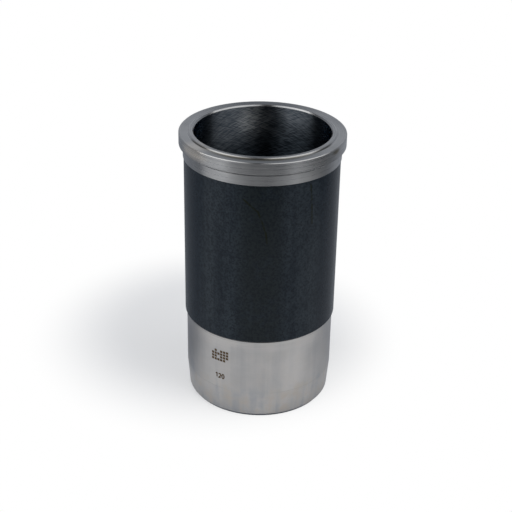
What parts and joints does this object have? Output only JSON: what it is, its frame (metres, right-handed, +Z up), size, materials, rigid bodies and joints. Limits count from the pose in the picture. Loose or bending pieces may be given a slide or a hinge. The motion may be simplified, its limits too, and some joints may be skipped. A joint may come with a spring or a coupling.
{
  "type": "cylinder liner",
  "caption": "Wet cylinder liner: a turned iron tube with a top flange and raised fire ring, a coated barrel, a bare guide band and a honed bore.",
  "frame": {"origin": "centre of the foot face, on the axis of the bore", "axes": "+Z up along the axis of the bore, from the foot to the flange; X and Y are free, because the liner is round"},
  "size_m": [0.1462, 0.1462, 0.2559],
  "materials": {
    "liner_iron": "turned and bare, with a matt black coating on the barrel and a honed bore"
  },
  "bodies": {
    "root": {"cylinder_liner": "liner_iron"}
  },
  "joints": []
}
